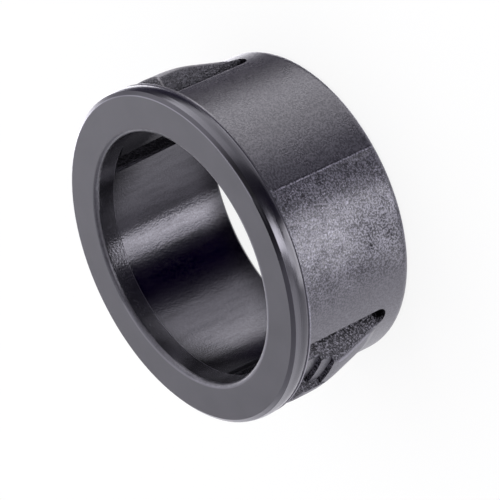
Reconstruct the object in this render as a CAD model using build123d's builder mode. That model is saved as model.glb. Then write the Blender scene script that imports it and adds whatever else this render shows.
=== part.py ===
from build123d import *
from math import radians, sqrt, tan
import os

# Moulded snap-in bushing that lines a knocked-out hole in sheet metal and
# shields the wires that pass through it. Millimetres. The nose stands on
# z = 0, the flange face is the top, and the two snap fingers lie on +X and -X.

# Overall sizes
overall_length = 10.72
panel_hole_diameter = 22.2
hole_clearance = 0.44

# Flange
flange_diameter = 23.24
flange_thickness = 1.45
face_edge_diameter = 22.54
face_bevel_depth = 0.2
rim_crown = 0.1
rim_seam_width = 0.16
rim_seam_step = 0.06
rim_back_bevel = 0.05

# Lip, the smallest bore, just inside the face
lip_diameter = 17.45
lip_length = 1.52
lip_edge_radius = 0.3
lip_step_length = 0.3

# Body wall behind the lip
front_wall = 1.56
nose_wall = 1.22
body_draft = 0.08
nose_outer_radius = 0.62
nose_inner_bevel = 0.25
parting_rib_width = 0.1
parting_rib_height = 0.035
parting_rib_root = 0.1

# Windows, cut by side cores that open outwards
window_front_gap = 0.45
window_half_width_inside = 5.05
window_draft_angle = 11.0
window_corner_bevel = 0.2
window_core_reach = 1.5
slot_end_depth = 8.9

# Snap fingers, hinged at the nose
finger_half_width = 3.8
finger_front_gap = 0.25
finger_rise = 0.84
catch_depth = 2.95
catch_edge_bevel = 0.1
ramp_edge_radius = 0.45
ridge_depth = 4.95
ridge_radius = 6.0
ramp_end_depth = 8.55

# Stepped teeth on one half of each finger, for sheets of several thicknesses
tooth_split = 0.95
tooth_rises = [0.33, 0.74]
tooth_depths = [3.5, 4.3]
tooth_land_rise = 0.06

# Radii and levels worked out from the sizes above
body_radius = panel_hole_diameter / 2 - hole_clearance
nose_radius = body_radius - body_draft
front_bore_radius = body_radius - front_wall
nose_bore_radius = nose_radius - nose_wall
flange_radius = flange_diameter / 2
face_edge_radius = face_edge_diameter / 2
lip_radius = lip_diameter / 2
finger_root_radius = body_radius - front_wall / 2
finger_top_radius = body_radius + finger_rise
tooth_radii = [body_radius + rise for rise in tooth_rises]
face_z = overall_length
flange_back_z = face_z - flange_thickness
rim_seam_z = flange_back_z + rim_seam_width
seam_radius = flange_radius - rim_crown + rim_seam_step
lip_back_z = face_z - lip_length
bore_start_z = lip_back_z - lip_step_length
window_front_z = flange_back_z - window_front_gap
finger_front_z = window_front_z - finger_front_gap
catch_z = face_z - catch_depth
slot_end_z = face_z - slot_end_depth
ridge_z = face_z - ridge_depth
ramp_end_z = face_z - ramp_end_depth
window_inside_x = sqrt(front_bore_radius**2 - window_half_width_inside**2)
outside = flange_radius + 2


def window_outline(x):
    """Draw the U-shaped slot round a finger, as wide as it is at distance x from the axis."""
    half_width = window_half_width_inside + (x - window_inside_x) * tan(radians(window_draft_angle))
    slot_radius = (half_width - finger_half_width) / 2
    slot_centre = finger_half_width + slot_radius
    round_z = slot_end_z + slot_radius
    corner_z = window_front_z - window_corner_bevel
    corner_y = half_width - window_corner_bevel
    with BuildLine() as outline:
        Polyline(
            (-half_width, round_z),
            (-half_width, corner_z),
            (-corner_y, window_front_z),
            (corner_y, window_front_z),
            (half_width, corner_z),
            (half_width, round_z),
        )
        ThreePointArc((half_width, round_z), (slot_centre, slot_end_z), (finger_half_width, round_z))
        Polyline(
            (finger_half_width, round_z),
            (finger_half_width, finger_front_z),
            (-finger_half_width, finger_front_z),
            (-finger_half_width, round_z),
        )
        ThreePointArc((-finger_half_width, round_z), (-slot_centre, slot_end_z), (-half_width, round_z))
    return make_face(outline.edges())


# Side core: what leaves the slot round the finger open
with BuildPart() as window_core:
    core_start = window_inside_x - window_core_reach
    with BuildSketch(Plane.YZ.offset(core_start)):
        window_outline(core_start)
    with BuildSketch(Plane.YZ.offset(outside)):
        window_outline(outside)
    loft(ruled=True)

# What is taken off a finger to leave its stepped teeth
with BuildPart() as tooth_gaps:
    with BuildSketch(Plane.XZ):
        with BuildLine():
            Polyline(
                (outside, finger_front_z),
                (front_bore_radius, finger_front_z),
                (front_bore_radius, face_z - tooth_depths[0]),
                (tooth_radii[0], face_z - tooth_depths[0]),
                (tooth_radii[0] + tooth_land_rise, face_z - tooth_depths[1]),
                (tooth_radii[1], face_z - tooth_depths[1]),
                (finger_top_radius, ridge_z),
                (outside, ridge_z),
                close=True,
            )
        make_face()
    revolve(axis=Axis.Z, revolution_arc=360)
    with BuildSketch(Plane.YZ):
        with Locations((tooth_split + outside / 2, overall_length / 2)):
            Rectangle(outside, 2 * overall_length)
    extrude(amount=outside, mode=Mode.INTERSECT)

# Raised part of a finger: full height on one half, stepped teeth on the other
with BuildPart() as finger_top:
    with BuildSketch(Plane.XZ) as finger_section:
        with BuildLine():
            Polyline(
                (finger_root_radius, catch_z),
                (finger_top_radius, catch_z),
                (finger_top_radius, ridge_z),
                (nose_radius, ramp_end_z),
                (finger_root_radius, ramp_end_z),
                close=True,
            )
        make_face()
        fillet(finger_section.vertices().group_by(Axis.X)[-1].sort_by(Axis.Y)[0], ridge_radius)
    revolve(axis=Axis.Z, revolution_arc=360)
    with BuildSketch(Plane.YZ):
        with Locations((0, overall_length / 2)):
            Rectangle(2 * finger_half_width, 2 * overall_length)
    extrude(amount=outside, mode=Mode.INTERSECT)
    add(tooth_gaps.part, mode=Mode.SUBTRACT)
    side_faces = finger_top.faces().filter_by(Axis.Y).sort_by(Axis.Y)
    plain_side = side_faces[0].edges().sort_by(Axis.X)[-3:]
    toothed_side = side_faces[-1].edges().filter_by(GeomType.LINE, reverse=True).sort_by(Axis.Z)[:2]
    fillet(plain_side + toothed_side, ramp_edge_radius)
    catch_edge = finger_top.edges().group_by(Axis.Z)[-1].sort_by(Axis.X)[-1]
    chamfer(catch_edge, catch_edge_bevel)

# Fine rib left along the body where the mould halves part
with BuildPart() as parting_rib:
    with BuildSketch(Plane.YZ):
        with BuildLine():
            Polyline(
                (body_radius - parting_rib_root, flange_back_z),
                (body_radius + parting_rib_height, flange_back_z),
                (nose_radius + parting_rib_height, nose_outer_radius),
                (nose_radius - parting_rib_root, nose_outer_radius),
                close=True,
            )
        make_face()
    extrude(amount=parting_rib_width / 2, both=True)

with BuildPart() as bushing:
    with BuildSketch(Plane.XZ) as section:
        with BuildLine():
            rim_front = (flange_radius - rim_crown, face_z - face_bevel_depth)
            rim_middle = (flange_radius, (face_z - face_bevel_depth + rim_seam_z) / 2)
            rim_end = (flange_radius - rim_crown, rim_seam_z)
            rim_back = (seam_radius, flange_back_z)
            Polyline((lip_radius, face_z), (face_edge_radius, face_z), rim_front)
            ThreePointArc(rim_front, rim_middle, rim_end)
            Polyline(
                rim_end,
                (seam_radius, rim_seam_z),
                rim_back,
                (body_radius, flange_back_z),
                (nose_radius, 0),
                (nose_bore_radius, 0),
                (front_bore_radius, bore_start_z),
                (lip_radius, lip_back_z),
                (lip_radius, face_z),
            )
        make_face()
        fillet(section.vertices().group_by(Axis.Y)[-1].sort_by(Axis.X)[0], lip_edge_radius)
        chamfer(section.vertices().sort_by_distance(rim_back)[0], rim_back_bevel)
        fillet(section.vertices().group_by(Axis.Y)[0].sort_by(Axis.X)[-1], nose_outer_radius)
        chamfer(section.vertices().group_by(Axis.Y)[0].sort_by(Axis.X)[0], nose_inner_bevel)
    revolve(axis=Axis.Z, revolution_arc=360)
    add(finger_top.part)
    add(finger_top.part, rotation=(0, 0, 180))
    add(parting_rib.part)
    add(parting_rib.part, rotation=(0, 0, 180))
    add(window_core.part, mode=Mode.SUBTRACT)
    add(window_core.part, rotation=(0, 0, 180), mode=Mode.SUBTRACT)

os.makedirs("parts", exist_ok=True)
bushing.part.label = "bushing"
export_step(bushing.part, "parts/bushing.step")
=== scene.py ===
from math import cos, degrees, radians, sin
from types import SimpleNamespace

import bmesh
import bpy
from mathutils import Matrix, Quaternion, Vector

# A moulded snap-in bushing stands on its nose on a pale floor. Lengths are in
# metres; the finish's own sizes are in millimetres, as the mould maker has them.
MM = 0.001

# Heights above the nose where one finish ends and the next begins, in millimetres
bushing_length = 10.72
bevel_start = 10.5
mouth_rounding = 10.38
flange_back = 9.27
lip_back = 9.2
window_front = 8.8
teeth_start = 7.4
slot_end = 1.8
nose_rounding = 0.7

# Distances from the bushing's axis, in millimetres
face_edge_radius = 11.27
body_radius = 10.66
bore_edge_radius = 9.4
mouth_radius = 9.0
window_reach = 7.2

# Half widths of a finger and of its window, in millimetres
finger_half_width = 3.8
window_half_width = 5.44

# Middle of the dull flow mark on the body, along X and Z, in millimetres
flow_mark_x = 5.2
flow_mark_z = 2.4

# Grain of the mould: lumps to a millimetre, finer layers, and the share of those
fine_grain = (8.0, 1.5, 0.6)
coarse_grain = (2.6, 3.0, 0.6)
blotchy_grain = (1.1, 4.0, 0.7)
patchy_grain = (0.45, 3.0, 0.6)
spotty_grain = (12.0, 1.0, 0.5)
# The glints of this grain are painted: bright specks in the colour
sparkling_grain = (9.0, 0.0, 0.5)

# Drawn-out grain: lumps to a millimetre along X, Y and Z, then layers and share
bore_marks = ((2.2, 2.2, 0.3), (1.0, 3.0, 0.6))
rim_rings = ((0.35, 0.35, 9.0), (1.0, 3.0, 0.55))

# The nylon's tint
nylon_red = 0.97
nylon_green = 0.935
nylon_blue = 1.09

# Brightness of each plain finish, and how much paler each edge is painted than what lies beside it:
# painted highlights along the edges, and painted shade beside the parting line where it is negative
finish_tones = {"face": 0.011, "rim": 0.012, "bore": 0.006, "lip": 0.014}
edge_tones = {
    "finger_crest": 0.16,
    "mouth": 0.06,
    "window": 0.10,
    "seam": 0.05,
    "lip_back": 0.06,
    "bevel": 0.014,
    "seam_step": 0.12,
    "collar": 0.12,
    "face": 0.12,
    "beside_parting": -0.04,
}

# Roughness of each finish
finish_roughness = {"body": 0.28, "wall": 0.55, "face": 0.40, "rim": 0.17, "bore": 0.10}
edge_roughness = {"finger_top": 0.20, "lip_rounding": 0.25, "bevel": 0.16}

# Painted shade: share of the mirrored light that the material takes away in each recess
recess_darkness = {"slot_end": 0.95, "window_depth": 0.5, "tooth_fronts": 0.7, "wall": 0.35}

# Camera: where it stands, seen from the middle of the bushing, and how far it is turned over
camera_azimuth = radians(83.42)
camera_elevation = radians(31.8)
camera_roll = radians(-115.32)
camera_distance = 0.26180
camera_aim = Vector((0.001420, -0.000255, 0.00544))
camera_lens = 288
camera_sensor = 36

# The studio that the gloss mirrors: its brightness low down round the bushing, by
# degrees from the camera's side. A strip light, a wide card and a card behind
# stand out from it, with dark gaps between them.
mirrored_studio = [
    (-180, 1.0),
    (-60, 1.0),
    (-50, 0.6),
    (-39, 0.65),
    (-34, 4.6),
    (-25, 4.2),
    (-15, 0.6),
    (-8, 0.03),
    (22, 0.03),
    (42, 1.25),
    (68, 1.95),
    (86, 2.35),
    (97, 1.1),
    (110, 0.08),
    (132, 0.08),
    (146, 0.5),
    (156, 2.8),
    (172, 2.8),
    (180, 1.0),
]
brightest = 5.0

# Except steeply below the bushing it is brighter, and turned by some degrees, the
# strip light more than the cards. The ceiling is darker right overhead.
raised_gain = 0.8
raised_glow = 0.1
strip_turn = 15.0
card_turn = 6.0
ceiling_brightness = 0.72
overhead_brightness = 0.2

# What lights the bushing otherwise, the same from all sides, and the light's violet cast
room_brightness = 0.8
violet_cast = (0.02, 0.01, 0.06)

# The floor as the camera sees it: paper, and the share of plain white over it
paper_brightness = 0.82
white_share = 0.88
floor_half_size = 3.0

# The floor in the gloss: a painted shadow ring, dim below the bore, and a bright card
# beside the bushing that glows as painted light. Each begins, is full, ends being full
# and is gone at the millimetres from the axis, or degrees round it, that are given.
ring_reach = (6.2, 9.0, 9.8, 10.5)
ring_clearness = 0.35
card_reach = (11.0, 12.5, 23.0, 26.0)
card_directions = (40.0, 50.0, 72.0, 80.0)
card_brightness = 3.7


class Field:
    """A value that varies over a surface; arithmetic on it adds Math nodes."""

    def __init__(self, finish, socket):
        self.finish = finish
        self.socket = socket

    def math(self, operation, *values):
        return self.finish.node("ShaderNodeMath", {"operation": operation}, dict(enumerate(values)))

    def __add__(self, other):
        return self.math("ADD", self, other)

    def __radd__(self, other):
        return self.math("ADD", other, self)

    def __sub__(self, other):
        return self.math("SUBTRACT", self, other)

    def __rsub__(self, other):
        return self.math("SUBTRACT", other, self)

    def __mul__(self, other):
        return self.math("MULTIPLY", self, other)

    def __rmul__(self, other):
        return self.math("MULTIPLY", other, self)

    def __abs__(self):
        return self.math("ABSOLUTE", self)


class Finish:
    """The nodes of a material or of the world, as they are built up."""

    def __init__(self, owner):
        owner.use_nodes = True
        self.tree = owner.node_tree
        self.tree.nodes.clear()

    def node(self, kind, settings=None, inputs=None, output=0):
        made = self.tree.nodes.new(kind)
        for name, value in (settings or {}).items():
            setattr(made, name, value)
        for name, value in (inputs or {}).items():
            if isinstance(value, Field):
                self.tree.links.new(value.socket, made.inputs[name])
            else:
                made.inputs[name].default_value = value
        return Field(self, made.outputs[output]) if made.outputs else made

    def place(self, kind="Object"):
        """Where a point lies on the object, in its own coordinates, or which way it faces."""
        return self.node("ShaderNodeTexCoord", output=kind)

    def scaled(self, vector, scale):
        return self.node("ShaderNodeVectorMath", {"operation": "MULTIPLY"}, {0: vector, 1: scale})

    def parts(self, vector):
        split = self.node("ShaderNodeSeparateXYZ", None, {0: vector})
        return [Field(self, socket) for socket in split.socket.node.outputs]

    def step(self, value, low, high):
        """Rise smoothly from 0 to 1 as value goes from low to high."""
        settings = {"interpolation_type": "SMOOTHSTEP"}
        inputs = {"Value": value, "From Min": low, "From Max": high}
        return self.node("ShaderNodeMapRange", settings, inputs)

    def between(self, value, begin, full, full_end, end):
        """Rise from 0 to 1 as value goes from begin to full, and fall again up to end."""
        return self.step(value, begin, full) * self.step(value, end, full_end)

    def near(self, value, place, full, gone):
        """Be 1 where value is within full of place, and 0 from gone on."""
        return self.step(abs(value - place), gone, full)

    def noise(self, place, scale, detail, roughness):
        inputs = {"Vector": place, "Scale": scale, "Detail": detail, "Roughness": roughness}
        return self.node("ShaderNodeTexNoise", None, inputs)

    def curve(self, value, points):
        """A curve drawn through the given points, both ways from 0 to 1."""
        drawn = self.node("ShaderNodeFloatCurve", None, {"Value": value})
        curve = drawn.socket.node.mapping.curves[0]
        for index, (x, y) in enumerate(points):
            if index < 2:
                curve.points[index].location = (x, y)
            else:
                curve.points.new(x, y)
        drawn.socket.node.mapping.update()
        return drawn

    def colour(self, red, green, blue):
        return self.node("ShaderNodeCombineXYZ", None, {0: red, 1: green, 2: blue})

    def surface(self, shader, kind="ShaderNodeOutputMaterial"):
        self.node(kind, None, {"Surface": shader})


def mix(low, high, share):
    return low + (high - low) * share


def distance(across, along):
    """How far a point lies from where both are 0."""
    squares = across * across + along * along
    return squares.math("SQRT", squares)


def total(zones, weights):
    """Add up the zones that weights names, each times its weight."""
    return sum(weight * getattr(zones, name) for name, weight in weights.items())


def find_zones(finish):
    """Which finish a point of the bushing has, each from 0 to 1."""
    step, between = finish.step, finish.between
    at = SimpleNamespace(point=finish.scaled(finish.place(), (1 / MM,) * 3))
    at.x, at.y, at.z = finish.parts(at.point)
    at.facing_y, at.facing_z = finish.parts(finish.place("Normal"))[1:]
    at.radius = distance(at.x, at.y)
    at.grainy_half = step(at.x, -0.3, 0.3)

    # Face, lip and bore
    behind_flange = step(at.z, flange_back + 0.18, flange_back + 0.12)
    outside_bore = step(at.radius, bore_edge_radius - 0.03, bore_edge_radius + 0.03)
    at.face = step(at.facing_z, 0.9, 0.99) * step(at.z, bushing_length - 0.06, bushing_length - 0.03)
    at.bore = (1 - outside_bore) * (1 - at.face)
    at.lip = at.bore * step(at.z, lip_back - 0.3, lip_back)

    # Rough walls: inside the windows, and the fingers' sides and front ends
    in_window = outside_bore * step(at.radius, body_radius - 0.1, body_radius - 0.16)
    finger_side = step(abs(at.facing_y), 0.8, 0.93) * step(abs(at.x), window_reach, window_reach + 0.2)
    finger_front = step(at.facing_z, 0.8, 0.93)
    wall = step(in_window + outside_bore * (finger_side + finger_front), 0.4, 0.6)
    at.wall = wall * between(
        at.z, nose_rounding, nose_rounding + 0.1, flange_back - 0.4, flange_back - 0.3
    )

    # Body and rim are what is left behind and in front of the flange's back
    at.body = behind_flange * (1 - at.bore) * (1 - at.wall)
    at.rim = (1 - behind_flange) * (1 - at.face) * (1 - at.bore)

    # Recesses of the windows, where shade is painted
    into_slot = step(at.radius, body_radius - 0.05, body_radius - 0.4) * mix(0.4, 1.0, at.grainy_half)
    at.slot_end = at.wall * step(at.z, slot_end + 0.6, slot_end + 0.15) * into_slot
    at.window_depth = at.wall * step(at.radius, body_radius - 0.1, body_radius - 0.9)
    at.window_side = at.wall * step(abs(at.y), finger_half_width + 0.4, finger_half_width + 0.7)
    at.tooth_fronts = finger_front * step(at.z, teeth_start + 0.1, teeth_start) * at.wall
    return at


def find_edges(finish, at):
    """The fine lines and bands where the bushing's surfaces meet, each from 0 to 1; most carry painted
    highlights, some painted shade.
    """
    step, between, near = finish.step, finish.between, finish.near
    edge = SimpleNamespace()

    # The line where the mould's halves part, a real seam painted lighter as its highlight, and the
    # painted shade beside it
    outside_body = step(abs(at.y), body_radius - 0.3, body_radius - 0.2) * at.body
    edge.parting = near(at.x, 0.0, 0.04, 0.07) * outside_body
    edge.beside_parting = near(at.x, -0.09, 0.04, 0.08) * outside_body

    # Lip and face, with painted highlight lines at the lip's back edge, round the mouth and along the
    # face's outer edge
    at_face = step(at.z, bushing_length - 0.1, bushing_length - 0.04)
    edge.lip_rounding = at.bore * step(at.z, mouth_rounding, mouth_rounding + 0.1)
    edge.lip_back = at.bore * near(at.z, lip_back, 0.02, 0.05)
    edge.mouth = at.grainy_half * near(at.radius, mouth_radius, 0.04, 0.12) * at_face
    edge.face = (1 - at.grainy_half) * near(at.radius, face_edge_radius, 0.02, 0.05) * at_face

    # Rim: its bevel, with painted shade over the middle and painted light elsewhere, its back edge and
    # step with painted highlights, and a painted highlight on the body just behind it
    bevel = at.rim * step(at.z, bevel_start - 0.02, bevel_start + 0.02)
    edge.bevel_middle = bevel * step(abs(at.x), 5.5, 2.0)
    edge.bevel = bevel - edge.bevel_middle
    edge.seam = at.rim * step(at.z, flange_back + 0.42, flange_back + 0.25)
    on_step = at.rim * step(at.facing_z, 0.4, 0.8)
    edge.seam_step = on_step * step(at.z, flange_back + 0.3, flange_back + 0.2)
    behind_rim = at.body * step(at.z, flange_back - 0.16, flange_back - 0.06)
    edge.collar = behind_rim * step(abs(at.x), 5.0, 8.0)

    # Finger tops with their rounded crests, where a highlight is painted, and each window's edge on
    # the toothless side, also with a painted highlight
    on_finger = step(abs(at.y), finger_half_width + 0.1, finger_half_width - 0.05)
    edge.finger_top = on_finger * step(at.radius, body_radius + 0.03, body_radius + 0.15) * at.body
    edge.finger_crest = between(abs(at.facing_y), 0.3, 0.5, 0.7, 0.85) * edge.finger_top
    beside_slot = near(abs(at.y), window_half_width, 0.04, 0.1) * at.body
    slot_range = between(at.z, slot_end + 0.2, slot_end + 0.6, window_front - 0.2, window_front)
    edge.window = beside_slot * slot_range * step(at.x * at.y, 0.0, -1.0)
    return edge


def find_grain(finish, at):
    """The mould's spark-eroded grain, and the marks along the bore and round the rim."""
    step, noise = finish.step, finish.noise
    grain = SimpleNamespace(
        fine=noise(at.point, *fine_grain),
        coarse=noise(at.point, *coarse_grain),
        blotches=noise(at.point, *blotchy_grain),
        patches=noise(at.point, *patchy_grain),
        along_bore=noise(finish.scaled(at.point, bore_marks[0]), *bore_marks[1]),
        round_rim=noise(finish.scaled(at.point, rim_rings[0]), *rim_rings[1]),
    )
    grain.speckle = step(grain.fine, 0.36, 0.64)
    grain.spots = step(noise(at.point, *spotty_grain), 0.42, 0.60)
    grain.sparkle = step(noise(at.point, *sparkling_grain), 0.67, 0.76)
    grain.glint = step(grain.spots, 0.55, 0.9) * step(grain.blotches, 0.35, 0.6)
    grain.hollows = step(grain.blotches, 0.5, 0.3)
    grain.dull_marks = step(grain.along_bore, 0.55, 0.35)

    # The grain is heaviest round the +Y side of the +X half, where a flow mark dulls it
    heavy_sides = step(at.y, 6.5, 9.0) + 0.4 * step(at.y, -6.5, -9.0)
    grain.heavy = at.body * at.grainy_half * heavy_sides
    grain.flow_mark = grain.heavy * step(distance(at.x - flow_mark_x, at.z - flow_mark_z), 3.4, 0.8)
    return grain


def nylon_tone(at, edge, grain):
    """Brightness of the nylon: near black, paler where it is rough; painted highlights along edges,
    painted glints on the heavy grain, painted shade in the windows and beside the parting line.
    """
    body = 0.060 - 0.012 * at.grainy_half + 0.06 * (grain.speckle - 0.5)
    heavy = 0.09 * (grain.speckle - 0.5) * (1 - 0.5 * grain.flow_mark) + 0.12 * (grain.blotches - 0.5)
    # Painted shade: the walls darken at the slot ends and on the windows' sides
    wall = (0.06 + 0.14 * at.grainy_half) * (1 - at.slot_end) * (1 - 0.8 * at.window_side)
    return (
        total(at, finish_tones)
        + total(edge, edge_tones)
        + at.body * body
        + at.wall * wall * grain.speckle * grain.speckle
        + at.face * 0.03 * (grain.patches - 0.5)
        + at.bore * 0.012 * (grain.along_bore - 0.5 + grain.speckle)
        # Painted glints: bright specks in the colour of the heavy grain
        + grain.heavy * (heavy + 0.14 * grain.sparkle * (1 - grain.flow_mark))
        # Painted highlight along the parting line
        + edge.parting * 0.16 * (0.4 + grain.speckle)
    )


def nylon_roughness(at, edge, grain):
    """Roughness of the nylon: polished bore and rim, satin face, rough windows."""
    grainy_body = at.body * at.grainy_half
    return (
        total(at, finish_roughness)
        + total(edge, edge_roughness)
        + 0.08 * grainy_body
        + 0.1 * (grain.patches - 0.5)
        + (0.1 * grainy_body + 0.15 * at.bore) * (grain.blotches - 0.5)
    )


def nylon_relief(at, edge, grain):
    """Height of the fine grain that stands out of the surface."""
    return (
        at.body * (0.9 * grain.fine + 0.2 * grain.coarse)
        + at.wall * 8.0 * grain.fine
        + at.bore * (1 - edge.lip_rounding) * (0.25 * grain.along_bore + 0.45 * grain.fine)
        + at.rim * 0.8 * grain.round_rim
    )


def nylon_darkness(at, edge, grain):
    """Share of the mirrored light taken away: painted shade in the recesses and over the bevel's
    middle, dull grain and flow mark, and less gloss on the half without grain, the rim and the face.
    """
    between_spots = 1 - grain.spots
    heavy = 0.32 * between_spots * (1 - 0.6 * grain.flow_mark) + 0.3 * grain.hollows
    bore = 0.2 * between_spots + 0.15 * grain.dull_marks
    return (
        total(at, recess_darkness)
        + at.window_side * (0.3 + 0.4 * at.grainy_half)
        + grain.heavy * heavy
        + at.bore * bore
        + (1 - at.grainy_half) * (0.35 * at.body + 0.2 * at.rim)
        + 0.18 * (at.rim + at.face)
        + 0.6 * (grain.flow_mark + edge.bevel_middle)
    )


def black_nylon():
    """Black nylon: satin face, spark-eroded body, rough window walls, polished bore."""
    material = bpy.data.materials.new("black_nylon")
    finish = Finish(material)
    at = find_zones(finish)
    edge = find_edges(finish, at)
    grain = find_grain(finish, at)

    # The body is less blue on the half without grain, and bluer where the grain is heavy
    tone = nylon_tone(at, edge, grain)
    tone = tone.math("MAXIMUM", tone, 0.002)
    plain_half = at.body * finish.step(at.x, -0.5, -4.5)
    blue = nylon_blue - 0.12 * plain_half + 0.05 * grain.heavy

    # Metallic over near black takes the mirrored light away, for painted shade in the recesses and for
    # dull places; the coat glints on the grain
    dark = nylon_darkness(at, edge, grain)
    coat = grain.glint * (0.15 * at.body + 0.75 * grain.heavy * (1 - grain.flow_mark))
    relief = {"Height": nylon_relief(at, edge, grain), "Strength": 1.0, "Distance": 0.02 * MM}
    inputs = {
        "Base Color": finish.colour(nylon_red * tone, nylon_green * tone, blue * tone),
        "Roughness": nylon_roughness(at, edge, grain),
        "Metallic": dark.math("MINIMUM", dark, 1.0),
        "Coat Weight": coat,
        "Coat Roughness": 0.25,
        "IOR": 1.53,
        "Specular IOR Level": 1.0,
        "Specular Tint": (0.9, 0.875, 1.0, 1),
        "Normal": finish.node("ShaderNodeBump", None, relief),
    }
    finish.surface(finish.node("ShaderNodeBsdfPrincipled", None, inputs))
    return material


def pale_floor():
    """White paper with the bushing's shadow; in the gloss, the studio below with a painted shadow ring
    and a glowing painted card.
    """
    material = bpy.data.materials.new("pale_floor")
    finish = Finish(material)
    camera_ray = finish.node("ShaderNodeLightPath", output="Is Camera Ray")
    glossy_ray = finish.node("ShaderNodeLightPath", output="Is Glossy Ray")

    def grey(brightness):
        return (brightness, brightness, brightness, 1)

    def glow(strength):
        return finish.node("ShaderNodeEmission", None, {"Color": grey(1), "Strength": strength})

    def clear(share):
        return finish.node("ShaderNodeBsdfTransparent", None, {"Color": grey(share)})

    def mixed(share, first, second):
        return finish.node("ShaderNodeMixShader", None, {0: share, 1: first, 2: second})

    x, y = finish.parts(finish.scaled(finish.place(), (1 / MM,) * 3))[:2]
    radius = distance(x, y)
    direction = y.math("ARCTAN2", y, x) * degrees(1)
    ring = finish.between(radius, *ring_reach)
    card = finish.between(radius, *card_reach) * finish.between(direction, *card_directions)
    studio_below = mixed(card, mixed(ring, clear(1), clear(ring_clearness)), glow(card_brightness))

    paper = finish.node("ShaderNodeBsdfDiffuse", None, {"Color": grey(paper_brightness)})
    seen = mixed(white_share * camera_ray, paper, glow(1.0))
    finish.surface(mixed(glossy_ray, seen, studio_below))
    return material


def lay_floor():
    sheet = bmesh.new()
    bmesh.ops.create_grid(sheet, x_segments=1, y_segments=1, size=floor_half_size)
    mesh = bpy.data.meshes.new("floor")
    sheet.to_mesh(mesh)
    sheet.free()
    floor = bpy.data.objects.new("floor", mesh)
    bpy.context.scene.collection.objects.link(floor)
    mesh.materials.append(pale_floor())


def aim_camera():
    away = Vector((
        cos(camera_azimuth) * cos(camera_elevation),
        sin(camera_azimuth) * cos(camera_elevation),
        sin(camera_elevation),
    ))
    data = bpy.data.cameras.new("camera")
    data.lens = camera_lens
    data.sensor_width = camera_sensor
    data.clip_start = 0.01
    data.clip_end = 20
    camera = bpy.data.objects.new("camera", data)
    level = (-away).to_track_quat("-Z", "Y")
    camera.rotation_mode = "QUATERNION"
    camera.rotation_quaternion = level @ Quaternion((0, 0, 1), camera_roll)
    camera.location = camera_aim + away * camera_distance
    bpy.context.scene.collection.objects.link(camera)
    bpy.context.scene.camera = camera


def softbox(name, place, size, power):
    """A square area lamp at place, aimed at the bushing."""
    data = bpy.data.lights.new(name, "AREA")
    data.size = size
    data.energy = power
    lamp = bpy.data.objects.new(name, data)
    lamp.location = place
    lamp.rotation_mode = "QUATERNION"
    lamp.rotation_quaternion = Vector(place).to_track_quat("Z", "Y")
    bpy.context.scene.collection.objects.link(lamp)


def light_studio():
    """A level room and one large lamp; the gloss mirrors a strip light, cards and dark gaps."""
    world = bpy.data.worlds.new("studio")
    bpy.context.scene.world = world
    finish = Finish(world)
    step = finish.step
    x, y, z = finish.parts(finish.place("Generated"))
    ahead = x * cos(camera_azimuth) + y * sin(camera_azimuth)
    beside = y * cos(camera_azimuth) - x * sin(camera_azimuth)

    raised = step(z, -0.5, -0.2)
    turn = beside.math("ARCTAN2", beside, ahead) * degrees(1)
    turn = turn - raised * mix(strip_turn, card_turn, step(turn, -5.0, 20.0))
    points = [(angle / 360 + 0.5, value / brightest) for angle, value in mirrored_studio]
    round_about = finish.curve(turn * (1 / 360) + 0.5, points) * brightest
    round_about = round_about * (1 + raised_gain * raised) + raised_glow * raised
    ceiling = mix(ceiling_brightness, overhead_brightness, step(z, 0.6, 0.9))
    mirrored = mix(ceiling, round_about, finish.between(z, -0.99, -0.85, 0.15, 0.4))

    glossy_ray = finish.node("ShaderNodeLightPath", output="Is Glossy Ray")
    brightness = mix(room_brightness, mirrored, glossy_ray)
    colour = finish.colour(*(brightness + cast for cast in violet_cast))
    light = finish.node("ShaderNodeBackground", None, {"Color": colour})
    finish.surface(light, "ShaderNodeOutputWorld")
    softbox("key", place=(-0.25, -0.15, 0.5), size=0.9, power=3)


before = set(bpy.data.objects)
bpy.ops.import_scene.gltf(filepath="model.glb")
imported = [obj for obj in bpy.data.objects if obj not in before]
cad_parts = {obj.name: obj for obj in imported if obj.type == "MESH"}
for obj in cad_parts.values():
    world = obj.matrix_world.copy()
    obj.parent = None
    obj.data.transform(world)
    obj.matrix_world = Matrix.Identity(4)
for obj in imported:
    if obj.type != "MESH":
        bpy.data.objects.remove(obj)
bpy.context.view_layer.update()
bpy.context.scene.view_settings.view_transform = "Standard"
aim_camera()
lay_floor()
light_studio()

nylon = black_nylon()
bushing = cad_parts["bushing"]
bushing.data.materials.clear()
bushing.data.materials.append(nylon)
